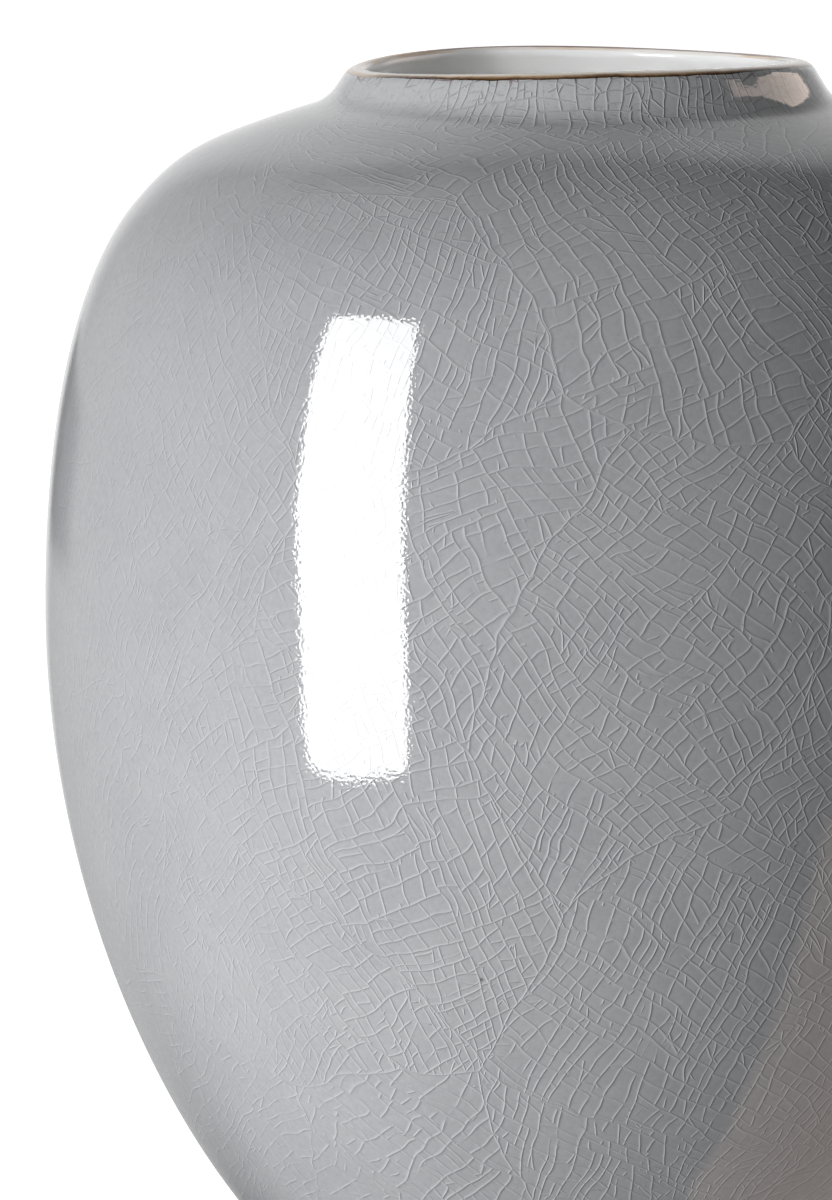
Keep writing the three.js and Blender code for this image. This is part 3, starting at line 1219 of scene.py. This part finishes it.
def make_card(name, outline, place, facing, strength, colour, ends=1.0, soft_width=0.0, soft_height=0.0):
    """A card that only the glaze's mirror image shows. The outline is in metres about its own middle.

    Its light falls to a share of its strength at the top and bottom, and its edges can fade out."""
    bm = bmesh.new()
    bm.faces.new([bm.verts.new((x, y, 0.0)) for x, y in outline])
    card = new_piece(name, bm)
    card.rotation_mode = "QUATERNION"
    card.rotation_quaternion = facing.to_track_quat("Z", "Y")
    card.location = place
    material, tree, surface = studio_material(name)
    glow = tree.nodes.new("ShaderNodeEmission")
    glow.inputs["Color"].default_value = colour
    parts = parts_of(tree, object_place(tree))
    width = max(abs(x) for x, y in outline)
    height = max(abs(y) for x, y in outline)
    sideways = maths(tree, "ABSOLUTE", parts["X"])
    upwards = maths(tree, "ABSOLUTE", parts["Y"])
    plug(tree, glow.inputs["Strength"], remapped(tree, upwards, 0.0, height, strength, strength * ends))
    share = 1.0
    if soft_width > 0:
        share = remapped(tree, sideways, width, width - soft_width)
    if soft_height > 0:
        share = maths(tree, "MULTIPLY", share, remapped(tree, upwards, height, height - soft_height))
    clear = tree.nodes.new("ShaderNodeBsdfTransparent")
    plug(tree, surface, mixed_shaders(tree, share, clear.outputs[0], glow.outputs[0]))
    wear(card, material)
    card.visible_camera = False
    card.visible_diffuse = False
    card.visible_transmission = False
    card.visible_shadow = False
    return card


def make_softbox():
    """The tall window of light that the glaze mirrors. Its diffuse light comes from the key instead."""
    place = from_vase(softbox_bearing, 0.0, softbox_distance, softbox_centre)[0]
    make_card("softbox", softbox_outline, place, way_out(softbox_turn, softbox_lean), softbox_radiance,
              white, softbox_ends)


def make_dark_card():
    """The dark streak down the left side."""
    width, height = dark_card_size
    outline = [(-width / 2, -height / 2), (width / 2, -height / 2), (width / 2, height / 2),
               (-width / 2, height / 2)]
    place, facing = from_vase(dark_card_bearing, dark_card_rise, dark_card_distance, dark_card_height)
    make_card("dark_card", outline, place, facing, dark_card_strength, white, 1.0,
              dark_card_soft_width, dark_card_soft_height)


def make_warm_cards():
    make_card("warm_wall", warm_wall_outline, warm_wall_place, Vector((-1, 0, 0)), warm_wall_strength,
              warm_wall_colour)
    table = make_card("warm_table", warm_table_outline, warm_table_place, Vector((0, 0, 1)),
                      warm_table_strength, warm_table_colour)
    table.rotation_mode = "XYZ"
    table.rotation_euler = (0, 0, 0)


def hang_lamp(light, place, facing):
    """A lamp that lights along a direction. Neither the camera nor the glaze shows it."""
    lamp = bpy.data.objects.new(light.name, light)
    lamp.location = place
    lamp.rotation_mode = "QUATERNION"
    lamp.rotation_quaternion = (-facing).to_track_quat("Z", "Y")
    lamp.visible_camera = False
    lamp.visible_glossy = False
    bpy.context.scene.collection.objects.link(lamp)


def make_panel(name, place, facing, size, radiance, colour=(1, 1, 1)):
    """A soft rectangular lamp."""
    width, height = size
    light = bpy.data.lights.new(name, "AREA")
    light.shape = "RECTANGLE"
    light.size = width
    light.size_y = height
    light.color = colour
    light.energy = radiance * math.pi * width * height
    hang_lamp(light, place, facing)


def make_key():
    place, facing = from_vase(key_bearing, key_rise, key_distance, belly_height)
    make_panel("key", place, facing, key_size, key_radiance, key_colour)


def make_bounce():
    """The lit patch of floor before the vase, as soft light from below."""
    place = from_vase(bounce_bearing, 0.0, bounce_distance, bounce_height)[0]
    make_panel("bounce", place, Vector((0, 0, 1)), bounce_size, bounce_radiance)


def make_back_fill():
    """Soft light on the side that the photograph doesn't show."""
    place, facing = from_vase(back_fill_bearing, back_fill_rise, back_fill_distance, belly_height)
    make_panel("back_fill", place, facing, back_fill_size, back_fill_radiance)


def make_mouth_lamp(name, bearing, rise, reach, energy, beyond, below):
    """A narrow lamp aimed at the mouth, or at a place beyond its middle and below the lip."""
    light = bpy.data.lights.new(name, "SPOT")
    light.energy = energy
    light.spot_size = 2 * math.atan(reach / mouth_lamp_distance)
    light.spot_blend = mouth_lamp_blend
    light.shadow_soft_size = mouth_lamp_softness
    bearing = math.radians(bearing)
    place, facing = from_vase(bearing, math.radians(rise), mouth_lamp_distance, lip_height - below)
    hang_lamp(light, place - way_out(bearing, 0.0) * beyond, facing)


def make_camera():
    data = bpy.data.cameras.new("photograph")
    data.lens = camera_lens
    data.sensor_width = camera_sensor
    data.sensor_fit = "AUTO"
    data.clip_end = camera_reach
    camera = bpy.data.objects.new("photograph", data)
    camera.location = camera_place
    camera.rotation_mode = "QUATERNION"
    camera.rotation_quaternion = (-way_out(camera_yaw, camera_pitch)).to_track_quat("-Z", "Y")
    bpy.context.scene.collection.objects.link(camera)
    bpy.context.scene.camera = camera


make_floor()
make_world()
make_softbox()
make_key()
make_bounce()
make_back_fill()
for name, values in mouth_lamps.items():
    make_mouth_lamp(name, *values)
make_dark_card()
make_warm_cards()
make_camera()

bpy.context.scene.view_settings.view_transform = "Standard"
